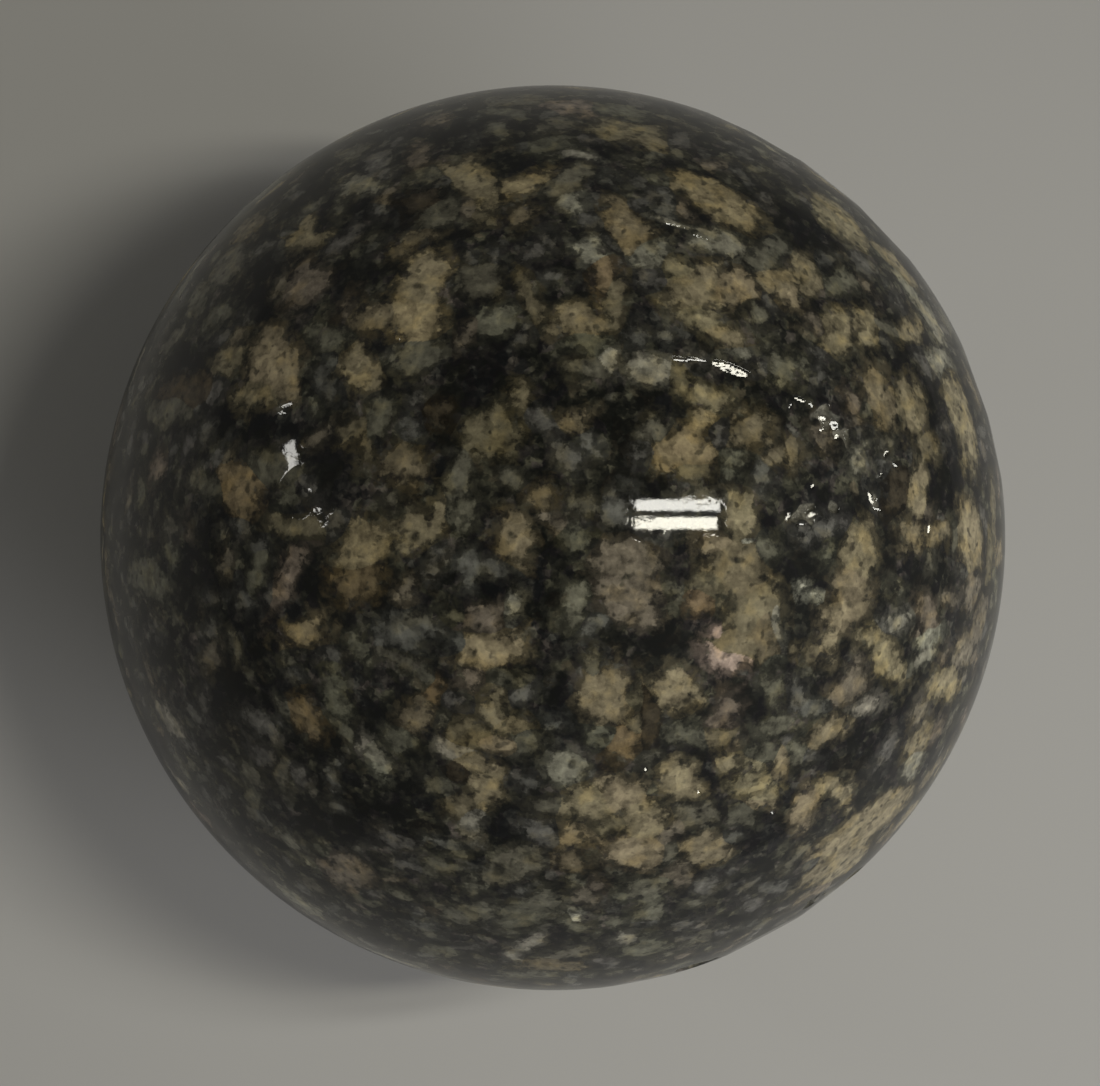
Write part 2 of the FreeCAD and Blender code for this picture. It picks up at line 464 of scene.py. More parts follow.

# The crystals that the camera sees, placed on the outline disc, kind by kind:
# right, up, half length, half width, and the turn of the long axis from the right towards up
# where it isn't 0.
SEEN_CRYSTALS = {
    "cream": [
        (8.3, 45, 3.8, 1.1, -5), (10.8, 43.8, 1.8, 0.9, -20), (-8.5, 39.6, 2.2, 1.7, -60),
        (-10.8, 40.6, 1.6, 0.7, -15), (-7.3, 37.6, 1.0, 0.9), (8.3, 34.5, 3.4, 1.7, -50),
        (-14.3, 28.2, 3.0, 2.2, 60), (3.2, 24, 3.0, 1.5, 10), (-31, 19.2, 3.6, 2.6, 85),
        (-32.5, 16, 2.2, 1.6, 20), (-21.5, 18.8, 2.5, 1.7, 110), (-27.3, 33, 2.3, 1.0),
        (-27.3, 34.6, 1.4, 0.7, 70), (31.7, 35.2, 3.8, 1.2, -42), (37.8, 30.3, 3.8, 0.6, -42),
        (15.3, 27.4, 2.8, 2.0, -20), (14, 29.4, 1.6, 1.2, -30), (17.6, 28.8, 1.5, 1.5),
        (20.3, 27.8, 3.0, 1.6), (24.6, 28.4, 2.5, 1.5, -20), (28, 29.2, 2.3, 1.4, -65), (26, 27, 1.6, 1.1),
        (16.5, 24.4, 2.4, 1.5, -30), (19.3, 22.4, 2.6, 1.1, -25), (31.5, 23, 2.2, 1.5, 80),
        (34.8, 23.2, 2.0, 1.4, 110), (36, 15.8, 3.1, 1.5, -70), (17.5, 15.7, 2.0, 1.2, -25),
        (33.8, -2.5, 4.2, 1.8, 83), (32.5, -7.8, 2.8, 1.8, 60), (30.6, -11.3, 1.9, 0.8, 65),
        (43.5, -16.2, 2.0, 1.5, 60), (31, -21.2, 2.2, 0.9, 30), (45.3, 13, 5.0, 1.0, -75),
        (40.4, 5, 3.4, 0.9, 85), (39.7, 0.4, 1.5, 1.1, 90), (46.2, 0.3, 3.7, 1.2, 95),
        (39.5, 23, 1.4, 1.2, 45), (-15, 1, 3.0, 1.6, 15), (-12.8, 2.9, 1.7, 0.6, 70),
        (-4.3, -0.2, 2.5, 1.7, -45), (-6.8, -12.3, 3.3, 1.9, 10), (18.2, -1, 1.8, 1.2, -20),
        (20.6, 2, 3.2, 1.7, 100), (5.8, -17.5, 3.0, 2.6, 100), (-6.6, -19.2, 1.8, 1.2, 100),
        (-6.5, -22.6, 3.2, 0.7, -5), (-8.5, -25.1, 2.4, 1.1, -30), (-7.8, -27.5, 2.0, 1.6, 80),
        (3.8, -29.2, 3.2, 1.6), (8, -28.6, 3.2, 1.8, -5), (10, -31.2, 2.6, 2.4), (9, -34.4, 3.4, 1.8, -5),
        (2.5, -33, 1.7, 1.2, -20), (13.6, -16.8, 2.6, 2.1), (19.9, -25.2, 1.8, 1.0, -45),
        (22.4, -27.4, 2.2, 1.8, -30), (24.9, -25.2, 1.7, 0.9, 60), (22.8, -29.2, 1.5, 0.9),
        (28, -29.6, 2.4, 1.1, 70), (30.8, -27.6, 2.2, 1.0, 5), (32.3, -28.8, 1.1, 0.9, 90),
        (34.8, -31.8, 6.4, 1.4, 37), (31.5, -36.3, 3.6, 1.3, 30), (17, -34.5, 2.6, 1.5, 10),
        (14, -27, 2.2, 2.0), (36.8, -13, 3.4, 1.7, -65),
    ],
    "yellow": [
        (-2.8, 39.2, 2.6, 1.1, 20), (-15.3, 24.4, 2.8, 2.5, 90), (18.6, 37.2, 5.0, 1.6, -30),
        (14.6, 10.2, 3.3, 2.3, 20), (16.2, 12.5, 1.6, 1.3, 45), (-20.9, -0.8, 2.6, 2.3, 60),
        (-4.4, -20.9, 2.2, 0.8, 5), (-27.2, -10.4, 2.2, 1.4, 10),
    ],
    "orange": [
        (5.8, 29, 1.8, 1.4, 80), (-21.7, -4.8, 2.5, 2.0, 20), (7.7, -22.8, 1.9, 1.6, 60),
        (16.6, -6.5, 1.5, 1.0, 90), (-13.3, -17, 1.6, 1.0, 70), (-27.2, -19.5, 2.4, 1.3, -55),
        (-34.5, 5.3, 2.9, 2.0, -65),
    ],
    "tan": [
        (-15.2, 33.1, 2.8, 1.0, 25), (-3.7, 35.3, 1.3, 1.1), (-7.5, 35.8, 1.5, 0.8),
        (-19.8, 24.4, 2.4, 1.4), (-2.2, 26.5, 2.8, 0.9, -55), (7, 26.3, 2.6, 1.2, 65),
        (-7, 11.5, 2.9, 2.6, 30), (-3.3, 15, 1.6, 0.9, 110), (2.5, 12.8, 1.2, 1.0), (-16.5, 7.8, 2.3, 2.1),
        (-36, 19.6, 2.0, 1.1, 50), (-35, 21.9, 1.4, 0.8, 40), (-33.8, 34.2, 2.4, 1.0, 40),
        (14.7, 17.3, 2.0, 1.2, -65), (15.2, 7.5, 2.0, 1.0), (21.8, 11.8, 2.3, 1.7, 20),
        (26, 9.3, 1.5, 1.2, 60), (39.8, 14.2, 3.0, 1.4, -80), (41.2, 10.5, 1.9, 1.1, -70),
        (42.5, 0.5, 1.5, 1.1), (-28.5, 1.5, 3.0, 1.2), (-22, 12.3, 1.9, 1.2, 30),
        (-20.8, 9.6, 1.3, 1.0, 90), (-1.3, 4.5, 1.6, 1.3), (18, -4.9, 2.3, 1.2, 10),
        (21.6, -5.2, 2.2, 1.2), (23.2, -9.8, 3.6, 1.8, 90), (28.5, -12.5, 1.5, 0.7),
        (8.6, -20.8, 1.6, 0.9, 90), (-9.2, -21.7, 2.3, 1.5), (-9.9, -29, 2.0, 1.4, 30),
        (-15.2, -19.8, 1.8, 1.5, 45), (6, -31.7, 1.8, 1.2), (1.8, -35.6, 2.0, 1.3, -20),
        (18.3, -21.8, 1.5, 1.0, 45), (0.5, -47.3, 3.0, 0.6, -3), (5.2, -17.0, 1.3, 1.0),
        (20.3, -3.2, 3.2, 2.6), (22, -8.0, 3.2, 3.0), (20.4, -11.6, 2.8, 1.8), (33.2, -5.0, 3.0, 1.9, 75),
        (48.3, -2, 3.0, 0.5, 85), (48.7, 3, 3.5, 0.4, 90), (40.5, -22.6, 2.6, 0.9, 55),
    ],
    "olive": [
        (1.5, 39.3, 2.5, 1.2, 35), (-0.5, 43.4, 2.8, 0.8, 5), (-6, 44.9, 1.1, 0.8),
        (-5.5, 46.9, 2.6, 0.6, -8), (-3.5, 48.5, 4.0, 0.9, 3), (7.5, 47.2, 3.0, 0.7, -8),
        (-12.5, 35.5, 2.2, 1.2, 40), (-15, 20, 2.8, 1.6, 30), (-8, 28.6, 2.4, 2.0),
        (-6.5, 24, 2.2, 1.8, 20), (4, 21.5, 2.4, 1.4, -20), (4.5, 18.3, 2.4, 1.1),
        (-10.2, 6.8, 2.8, 1.3, 85), (-19.5, 13.5, 2.4, 1.4, 80), (-24.7, 22.2, 2.0, 1.4),
        (-39.2, 26.3, 1.9, 0.9, 75), (-37, 24.8, 1.8, 0.9, 50), (-36, 30, 2.2, 1.2, 50),
        (-42, 22, 1.8, 0.5, 50), (-22.3, 42.6, 1.8, 0.7, 25), (-31, 39, 2.6, 0.6, 45),
        (23.4, 30.6, 1.6, 1.5), (24.7, 32, 1.3, 1.1), (22.5, 24.8, 1.7, 1.0, -40), (32.3, 28.2, 1.5, 1.3),
        (25.3, 18.4, 1.4, 1.2), (20.5, 9, 1.5, 1.3), (-32.7, -3.5, 3.2, 0.7, 75), (-38, 5.5, 1.5, 1.2, 90),
        (-31, 8, 3.0, 2.0), (-42.5, 14.3, 2.2, 1.7, 30), (-44.9, -4.5, 2.6, 1.5, -50),
        (-10.5, 3, 2.0, 1.4, 60), (2.8, 0.3, 1.6, 1.1, -30), (3.5, 3.5, 1.5, 1.4), (-10.8, -8.6, 1.6, 1.1),
        (-17, -13.8, 2.2, 0.9, -10), (-14.3, -15.3, 1.5, 1.0, -40), (5.3, -22, 1.5, 1.0),
        (-2.9, -22.6, 1.6, 1.3), (-12, -27.6, 1.8, 1.2, -20), (-1.2, -29.5, 1.6, 1.1, 20),
        (-4.3, -36.1, 3.0, 1.6, 20), (-12, -36.7, 2.3, 0.8), (15, -22, 2.6, 1.2, -10),
        (24.6, -17, 1.6, 0.8, -60), (23.6, -23.9, 1.5, 1.3), (26.9, -23.6, 1.6, 0.8, 75),
        (16.3, -30.5, 2.6, 1.2), (20.8, -30.6, 1.5, 1.2), (10.5, -38.7, 2.3, 1.0),
        (-9.6, -41.7, 3.0, 1.1, 8), (-3.2, -41.6, 3.4, 1.1, 5), (-0.3, -40, 2.5, 1.1, 15),
        (-3, -48.4, 3.0, 0.6), (10, -45.5, 3.0, 0.8, 8), (10.8, -41, 1.6, 1.4, 60), (2, -45.9, 2.0, 0.6),
        (-12.5, -45.7, 2.0, 0.6, -8), (-24, -17.6, 3.0, 1.1, -78), (-33, -26.3, 1.8, 0.9, -65),
        (-33, -28.4, 1.5, 0.8, -80),
    ],
    "pale": [
        # The thin pale streak at 15.2, 34.4 on the next line is a painted reflection of a lamp along a
        # polished dent, laid down as a pale crystal.
        (2.2, 37.2, 1.8, 1.1, -20), (2.6, 42.3, 1.8, 0.30, -10), (15.2, 34.4, 4.0, 0.22, -18),
        (-21.3, 39, 2.1, 0.9, -10), (41.8, -10.6, 1.5, 0.9, 60), (34.6, -18.8, 1.6, 0.8, 30),
        (10.6, 31.8, 1.8, 1.2, -10), (4, 32, 1.8, 1.2), (6.4, 19.5, 1.6, 0.9, 95),
        (11, 18.5, 2.2, 1.4, -10), (18, 32.5, 2.6, 1.2, -15), (21, 20.8, 1.2, 0.7), (33.8, 9, 1.0, 0.9),
        (38.5, -9.3, 1.1, 0.9), (41, -13, 1.7, 0.5, 40), (41.8, 24.2, 2.6, 0.6, -60),
        (42.6, 19.5, 1.6, 1.1, -60), (38.8, 28.3, 2.4, 0.5, -50), (-43.2, -5, 1.2, 0.4, -60),
        (-4.2, -8.2, 1.7, 0.7, 75), (24.8, -9.5, 2.5, 0.7, 90), (-10.6, -23.4, 1.7, 1.1, -25),
        (-9, -31.6, 2.0, 1.2, 80), (1.5, -25.5, 2.2, 1.7), (39.8, -24.8, 1.5, 0.8, 60),
        (-3.8, -45.8, 1.1, 0.8), (-2.5, -44.7, 1.6, 0.5, 35), (8, -44.4, 1.5, 0.6, 10),
        (-17.5, -46.6, 3.5, 0.4, -20), (-28, -40.2, 3.2, 0.7, -35), (-42.5, -20, 2.6, 0.8, -60),
        (-41.2, -27, 1.9, 0.5, -48), (-21.3, -22.7, 1.2, 0.9, -20), (-19.5, -23.8, 2.0, 0.7, -35),
        (-18.7, -25.1, 0.9, 0.6, -60), (-29, -33.3, 1.2, 0.5, -25), (-27, -36, 1.2, 0.4, -40),
    ],
    "pink": [
        (2, 47.7, 3.0, 0.8, -5), (-14.8, 42.2, 1.2, 1.2), (-27.5, 27.8, 2.8, 1.6, 50),
        (41.5, -8.8, 2.3, 1.2, 95), (-29.3, -4.6, 3.4, 1.1, 60), (-43.7, 7.7, 1.8, 0.7, 65),
        (-8, -9, 2.6, 1.6), (20.5, -10.6, 1.0, 0.9), (19, -19.3, 1.9, 1.2, 75), (30, -38.4, 1.5, 0.6, 20),
        (-22.6, -37.2, 2.4, 1.6, -35),
    ],
    # Pink feldspar with a painted sheen: a shiny cleavage face, lightened in colour where it catches the
    # lamps.
    "rose": [
        (19.4, -12.7, 2.3, 1.4, -15), (18.2, -10.8, 1.3, 0.8, -30),
    ],
    "dun": [
        (8.0, -2.2, 3.2, 2.4), (8.4, -6.6, 3.4, 2.4), (45.4, -12.6, 2.0, 0.9, 70),
        (47.2, -9.1, 3.0, 0.7, 75), (46.3, -6, 1.8, 0.9, 80), (32.8, -16.3, 2.4, 1.4, 45),
        (42.2, -25.5, 2.5, 0.5, 52),
    ],
    "brown": [
        (-14.5, 37, 2.2, 1.2, 10), (-12.5, 13.5, 1.6, 1.4), (-41, 16.3, 3.0, 1.5, 15),
        (38.3, 5, 1.9, 1.6, 80), (11, -20, 3.0, 1.2, 90), (-10.3, -26, 1.2, 1.2),
    ],
    "grey": [
        (-9, 43.8, 0.9, 0.5, 20), (-19.3, 41.5, 1.5, 1.5), (-2.3, 31.8, 1.3, 1.0, 60),
        (-6.5, 31, 0.8, 0.6), (-9, 30.7, 1.0, 1.0), (11, 29, 1.2, 1.0), (-1.5, 13, 2.0, 1.0, -45),
        (30.5, 30.7, 1.0, 0.8), (34.3, 30.2, 1.5, 0.8, -40), (23.5, 7, 1.1, 1.0), (-37.5, -6.7, 1.4, 0.7),
        (-3, -27, 1.2, 0.8, 10), (-1, -32.6, 2.0, 1.2, -30), (17, -38.3, 1.3, 1.0),
        (24, -38.7, 1.6, 0.8, 10), (22, -40.5, 1.0, 0.8), (37, -23.3, 2.0, 0.8, 60),
        (-14, -43.3, 1.5, 0.6, -10), (-39.5, -19.6, 1.5, 0.6, -45), (-24.2, -29.2, 0.9, 0.4, -25),
        (7, 3, 1.9, 1.5, 60), (-16, -10.5, 3.0, 2.0), (-31.8, 32, 1.2, 0.5, 20),
    ],
    # Painted glints: small near-white spots where the lamps glint on the polished stone, not grains of it.
    "white": [
        (21.3, -0.8, 1.1, 0.8), (28.7, -6, 0.7, 0.5), (8.1, -3, 0.5, 0.5), (6.1, -5, 0.5, 0.5),
        (8.7, -6, 0.45, 0.45), (2.6, -42, 0.4, 0.4),
    ],
}

# Where dark mica crowds together, placed in the same way.
SEEN_DARK = [
    (-4.5, 41.3, 2.6, 1), (-9, 45, 7, 1.5), (6, 43, 1.6, 1), (-2, 34.3, 2.2, 1.2), (-11, 33, 2, 1.2),
    (-17.5, 34.8, 1.6, 1.1), (2.5, 29.5, 2.5, 1.5), (-6, 18, 7, 4), (-9.5, 25, 2, 2), (-32.5, 28.5, 2, 3),
    (-39.5, 19.5, 3.5, 2.5), (-24.5, 14.8, 2, 1.5), (-22.5, 29, 3, 2), (-25.5, 38.8, 2.5, 1.5),
    (-19, 20.5, 1, 2), (20.5, 34, 3.5, 1.1, -15), (28, 33.5, 4, 2, -45), (20.3, 25.3, 1.6, 0.9),
    (10, 14, 5, 2, 10), (28.5, 25.8, 2, 0.9), (43.5, 6, 2.5, 3), (41, -4, 3, 1.8), (40, -6.8, 1.2, 1),
    (42.5, 12, 0.8, 4), (39, 20.5, 1, 1.2), (38.5, -18.5, 3, 1.5, 20), (31.8, -13, 1.5, 0.6, 50),
    (37, -0.5, 1.2, 3), (-37, 2, 1.5, 1.5), (-39, -4, 2.5, 3.5), (-33, -10.5, 2.5, 2.5),
    (-24.5, 6.5, 2.5, 4), (-26, -4, 1.6, 3), (-35, 13, 3, 2), (-8.3, 5, 0.8, 2), (-5, -5, 4, 1.2),
    (0, -5, 2, 1.5), (-18, -8, 3, 1.5), (0, -13, 3, 2.5), (27, -3, 2.5, 7), (27.5, -8.5, 2, 2),
    (23.5, 2, 1.1, 1), (32, 4, 2, 1.5), (12, -11, 4, 1.8), (14.3, -2.7, 2.2, 2.4), (-5, -32, 2, 3),
    (-16, -29, 4, 4), (-15, -24.5, 2.5, 1.5), (1, -17, 2, 3.5), (-5, -19, 1, 0.8), (5, -25.5, 1.6, 1),
    (34.5, -24.5, 4, 3), (17, -26, 1, 2.5), (24, -32.5, 2.5, 2), (14, -38.5, 1.5, 1), (22, -18, 2, 2),
    (-34, -17, 4, 4), (-27, -24, 4, 2), (-22, -31, 6, 3), (-20, -20, 2, 2), (29.3, -30.6, 1.0, 1.2),
]

# Small dark grains inside the pale crystals: right, up, half length, half width.
SEEN_SPOTS = [
    (-15.2, 0, 0.55, 0.55), (-4.7, 0.5, 0.35, 0.35), (-8.2, -9.7, 0.4, 0.4), (-7.5, -10.6, 0.4, 0.4),
    (32.8, -7.3, 0.5, 0.5), (31.5, -3.3, 0.5, 0.5), (20.5, -2.5, 0.9, 0.35), (24, -3, 1.3, 0.8),
    (19.8, -7.5, 0.9, 0.9), (12.5, -18.7, 0.5, 0.4), (14.8, -18, 0.5, 0.5), (-14.8, 27.8, 0.8, 0.4),
    (-11.3, 28.3, 0.4, 0.4), (6.5, -33, 0.9, 0.9), (4.5, -34.5, 0.7, 1.5), (10.8, 33, 0.35, 0.8),
    (-21.5, 12.4, 0.4, 0.4), (-5.9, -36.7, 0.8, 0.8), (15.5, 24.9, 0.5, 0.35), (18.3, 24.2, 0.5, 0.35),
    (34, 23, 0.5, 0.35), (2.2, -25.0, 0.4, 0.5),
]

# Crystals dropped at random where there is room, in two rounds: how many, how many places are tried
# for each, how squarely a place may face the camera, their size as a share of the table's, and their
# kinds where they aren't the table's. The first round covers the side away from the camera and a little
# more. The second puts small dull grains all over.
DROPPED_ROUNDS = [
    (500, 40, 0.36, 1.0, ()),
    (3000, 1, 1.0, 0.60, ("olive", "olive", "grey", "grey", "grey", "dun")),
]
# Kinds too rare to be dropped: the white painted glints, and the rose feldspar with its painted sheen.
RARE_KINDS = ("white", "rose")
# How far each one stays from the next, as a share of their sizes.
DROPPED_GAP = 0.75
# The least half size of a dropped crystal.
DROPPED_LEAST = 0.75
# The ragged edges wear the crystals down, so each is laid down this much larger.
CRYSTAL_GROWTH = 1.12
# Crystals are blocky: the power in the outline |x|^p + |y|^p = 1, where 2 is an ellipse.
BLOCKY = 2.5
# How far the outlines of crystals wander, and over what length.
WANDER = 0.22
WANDER_LENGTH = 5.0
# How much the shade of one crystal and its tint differ from those of its kind.
SHADE_SPREAD = (0.82, 1.12)
TINT_SPREAD = (0.98, 1.02)
# How far outside its outline, in mm, a dark patch begins, and how crowded with mica a place may be
# for a crystal to be dropped there.
CROWD_MARGIN = 0.7
MOST_CROWDED = 0.5


def seen_crystals():
    """Every crystal of the table: middle, matrix, mean half size and kind."""
    found = []
    for kind, rows in SEEN_CRYSTALS.items():
        for row in rows:
            found.append((*seen_shape(*row, growth=CRYSTAL_GROWTH), kind))
    return found


def dropped_crystals(laid):
    """The crystals laid so far and more in the room they leave, with kinds and sizes drawn from the
    table, the largest first. A round that names kinds draws only the sizes from the table."""
    draw = np.random.default_rng(7)
    common = [kind for kind in SEEN_CRYSTALS if kind not in RARE_KINDS]
    rows = [(kind, row[2], row[3]) for kind in common for row in SEEN_CRYSTALS[kind]]
    laid = list(laid)
    taken = np.array([crystal[0] for crystal in laid])
    reach = np.array([crystal[2] for crystal in laid])
    for count, tries, most_facing, scale, kinds in DROPPED_ROUNDS:
        picked = [rows[index] for index in draw.integers(len(rows), size=count)]
        picked.sort(key=lambda row: -row[1] * row[2])
        places = draw.normal(size=(count * tries, 3))
        places /= np.linalg.norm(places, axis=1)[:, None]
        allowed = (places @ TOWARD <= most_facing) & (crowding(places) < MOST_CROWDED)
        for index, (kind, length, width) in enumerate(picked):
            span = slice(index * tries, (index + 1) * tries)
            tried = places[span][allowed[span]]
            length, width = max(length * scale, DROPPED_LEAST), max(width * scale, DROPPED_LEAST)
            size = math.sqrt(length * width)
            gaps = np.linalg.norm(tried[:, None] - taken, axis=2) * RADIUS
            roomy = tried[np.all(gaps >= DROPPED_GAP * (reach + size), axis=1)]
            if not len(roomy):
                continue
            middle = roomy[0]
            turn = draw.uniform(0.0, math.pi)
            east = unit(np.cross((0.31, 0.17, 0.93), middle))
            north = np.cross(middle, east)
            first = (math.cos(turn) * east + math.sin(turn) * north) * length
            second = (math.cos(turn) * north - math.sin(turn) * east) * width
            if kinds:
                kind = kinds[draw.integers(len(kinds))]
            laid.append((middle, across_matrix(first, second), size, kind))
            taken = np.vstack((taken, middle))
            reach = np.append(reach, size)
    return laid


def crowding(ways):
    """How much dark mica crowds at each way, from 0 to 1."""
    dark = np.zeros(len(ways))
    sorted_ways = SortedWays(ways)
    for row in SEEN_DARK:
        near, inside = depth_inside(sorted_ways, *seen_shape(*row), 2.0)
        dark[near] = np.maximum(dark[near], np.clip(inside + CROWD_MARGIN, 0.0, 1.0))
    return dark


def paint(mesh, ways):
    """Store on each point of the mesh how deep it lies in a crystal, the crystal's colour, which holds
    a painted glint for the white kind and a painted sheen for the rose kind, how much mica crowds
    round it, how deep it lies in a dark grain, and how far inside a chip it is."""
    placed = wandered(ways, WANDER, WANDER_LENGTH, 21)
    sorted_placed = SortedWays(placed)
    depth = np.full(len(ways), -3.0)
    color = np.empty((len(ways), 4))
    color[:] = (*CRYSTAL_COLORS["olive"], 1.0)
    draw = np.random.default_rng(3)
    for middle, matrix, size, kind in dropped_crystals(seen_crystals()):
        near, inside = depth_inside(sorted_placed, middle, matrix, size, BLOCKY)
        shade = draw.uniform(*SHADE_SPREAD)
        tint = np.array(CRYSTAL_COLORS[kind]) * shade * draw.uniform(*TINT_SPREAD, 3)
        deeper = inside > depth[near]
        depth[near[deeper]] = inside[deeper]
        color[near[deeper], :3] = tint
    spots = np.full(len(ways), -3.0)
    sorted_ways = SortedWays(ways)
    for row in SEEN_SPOTS:
        near, inside = depth_inside(sorted_ways, *seen_shape(*row), 2.0)
        spots[near] = np.maximum(spots[near], inside)
    store(mesh, "crystal_depth", "FLOAT", depth)
    store(mesh, "crystal_and_glint_color", "FLOAT_COLOR", color)
    store(mesh, "mica_crowd", "FLOAT", crowding(placed))
    store(mesh, "grain_depth", "FLOAT", spots)
    store(mesh, "chip_share", "FLOAT", np.clip(chip_share(ways), 0.0, 1.0))


def store(mesh, name, kind, values):
    attribute = mesh.attributes.new(name, kind, "POINT")
    field = "color" if kind == "FLOAT_COLOR" else "value"
    attribute.data.foreach_set(field, np.asarray(values, np.float32).ravel())


# ---------------- the material

class Nodes:
    """Short calls that add nodes to a material or a world. A value given to them is a number, a
    colour or the output of another node."""

    def __init__(self, owner):
        owner.use_nodes = True
        self.tree = owner.node_tree
        self.tree.nodes.clear()

    def add(self, kind, inputs=(), **settings):
        node = self.tree.nodes.new(kind)
        for name, value in settings.items():
            setattr(node, name, value)
        for key, value in dict(inputs).items():
            if isinstance(value, bpy.types.NodeSocket):
                self.tree.links.new(value, node.inputs[key])
            else:
                node.inputs[key].default_value = value
        return node

    def math(self, operation, *values):
        return self.add("ShaderNodeMath", enumerate(values), operation=operation).outputs[0]

    def vector(self, operation, *values):
        return self.add("ShaderNodeVectorMath", enumerate(values), operation=operation).outputs[0]

    def attribute(self, name, output="Fac"):
        return self.add("ShaderNodeAttribute", attribute_name=name).outputs[output]

    def noise(self, place, scale, detail=2.0, rough=0.5, output="Fac"):
        inputs = {"Vector": place, "Scale": scale, "Detail": detail, "Roughness": rough}
        return self.add("ShaderNodeTexNoise", inputs).outputs[output]

    def cells(self, place, scale, softness):
        """Random colours, one to a cell, that run together a little at the cells' edges."""
        inputs = {"Vector": place, "Scale": scale, "Smoothness": softness}
        return self.add("ShaderNodeTexVoronoi", inputs, feature="SMOOTH_F1").outputs["Color"]

    def shift(self, place, scale, detail, amount):
        """The place moved by up to about half of amount each way, by a noise."""
        drift = self.noise(place, scale, detail, 0.6, "Color")
        centred = self.vector("SUBTRACT", drift, (0.5, 0.5, 0.5))
        return self.vector("ADD", place, self.vector("MULTIPLY", centred, (amount,) * 3))

    def split(self, color):
        return self.add("ShaderNodeSeparateColor", {"Color": color}).outputs

    def between(self, value, low, high, start=0.0, end=1.0, smooth=True):
        """The value mapped from low..high to start..end, and held there outside."""
        inputs = {"Value": value, "From Min": low, "From Max": high, "To Min": start, "To Max": end}
        kind = "SMOOTHSTEP" if smooth else "LINEAR"
        return self.add("ShaderNodeMapRange", inputs, interpolation_type=kind).outputs[0]

    def mix(self, share, first, second, blend="MIX"):
        inputs = {0: share, 6: first, 7: second}
        return self.add("ShaderNodeMix", inputs, data_type="RGBA", blend_type=blend).outputs[2]

    def ramp(self, value, stops):
        node = self.add("ShaderNodeValToRGB", {"Fac": value})
        elements = node.color_ramp.elements
        while len(elements) < len(stops):
            elements.new(0.5)
        for element, (place, color) in zip(elements, stops):
            element.position = place
            element.color = (*color, 1.0)
        return node.outputs["Color"]

    def scaled(self, color, amount):
        """The colour times a number that may pass 1."""
        inputs = {"Vector": color, "Scale": amount}
        return self.add("ShaderNodeVectorMath", inputs, operation="SCALE").outputs[0]


# The colours of the matrix between the crystals, from black mica up to grey quartz.
MATRIX_TONES = [
    (0.00, (0.0088, 0.0092, 0.0092)),
    (0.25, (0.0130, 0.0134, 0.0128)),
    (0.42, (0.0235, 0.0233, 0.0205)),
    (0.56, (0.0440, 0.0430, 0.0350)),
    (0.72, (0.0820, 0.0790, 0.0630)),
    (0.88, (0.1300, 0.1240, 0.0980)),
    (1.00, (0.1900, 0.1770, 0.1380)),
]
# The tints of single grains of the matrix: blue-black, purple, plain, olive and brown.
GRAIN_TINTS = [
    (0.00, (0.96, 0.98, 1.07)),
    (0.20, (1.06, 0.94, 1.06)),
    (0.38, (1.00, 1.00, 0.98)),
    (0.60, (1.02, 1.02, 0.92)),
    (0.80, (1.00, 1.02, 0.90)),
    (1.00, (1.10, 1.00, 0.86)),
]
# The stone itself is matt. Its polish is a coat that doesn't take everywhere, so it mirrors less
# than glass would.
STONE_ROUGHNESS = 0.5
POLISH_WEIGHT = 0.62
POLISH_ROUGHNESS = 0.03
POLISH_IOR = 1.5
# The height of the pale crystals over the mica, which polishes away faster, in metres.
POLISH_RELIEF = 0.0000030


def granite_material():
    material = bpy.data.materials.new("polished_granite")
    nodes = Nodes(material)
    position = nodes.add("ShaderNodeTexCoord").outputs["Object"]
    place = nodes.vector("MULTIPLY", position, (1.0 / MM,) * 3)
    rough_place = nodes.shift(nodes.shift(place, 0.33, 2.0, 2.2), 1.5, 3.0, 0.8)

    inside, color = stone_color(nodes, place, rough_place)
    chip = nodes.between(nodes.attribute("chip_share"), 0.0, 0.3)
    crushed = nodes.ramp(nodes.noise(place, 1.6, 4.0, 0.7), CRUSHED_TONES)
    color = nodes.mix(nodes.math("MULTIPLY", chip, 0.7), color, crushed)

    relief = nodes.math("ADD", inside, nodes.noise(place, 1.2, 4.0, 0.6))
    bump = nodes.add("ShaderNodeBump", {"Height": relief, "Strength": 1.0, "Distance": POLISH_RELIEF})
    inputs = {
        "Base Color": color,
        "Roughness": STONE_ROUGHNESS,
        "Specular IOR Level": 0.0,
        "Normal": bump.outputs[0],
        "Coat Weight": POLISH_WEIGHT,
        "Coat Roughness": POLISH_ROUGHNESS,
        "Coat IOR": POLISH_IOR,
        "Coat Normal": bump.outputs[0],
    }
    shader = nodes.add("ShaderNodeBsdfPrincipled", inputs)
    nodes.add("ShaderNodeOutputMaterial", {"Surface": shader.outputs[0]})
    return material


# The broken stone in a chip.
CRUSHED_TONES = [
    (0.30, (0.070, 0.068, 0.058)),
    (0.50, (0.200, 0.190, 0.155)),
    (0.70, (0.420, 0.400, 0.330)),
]


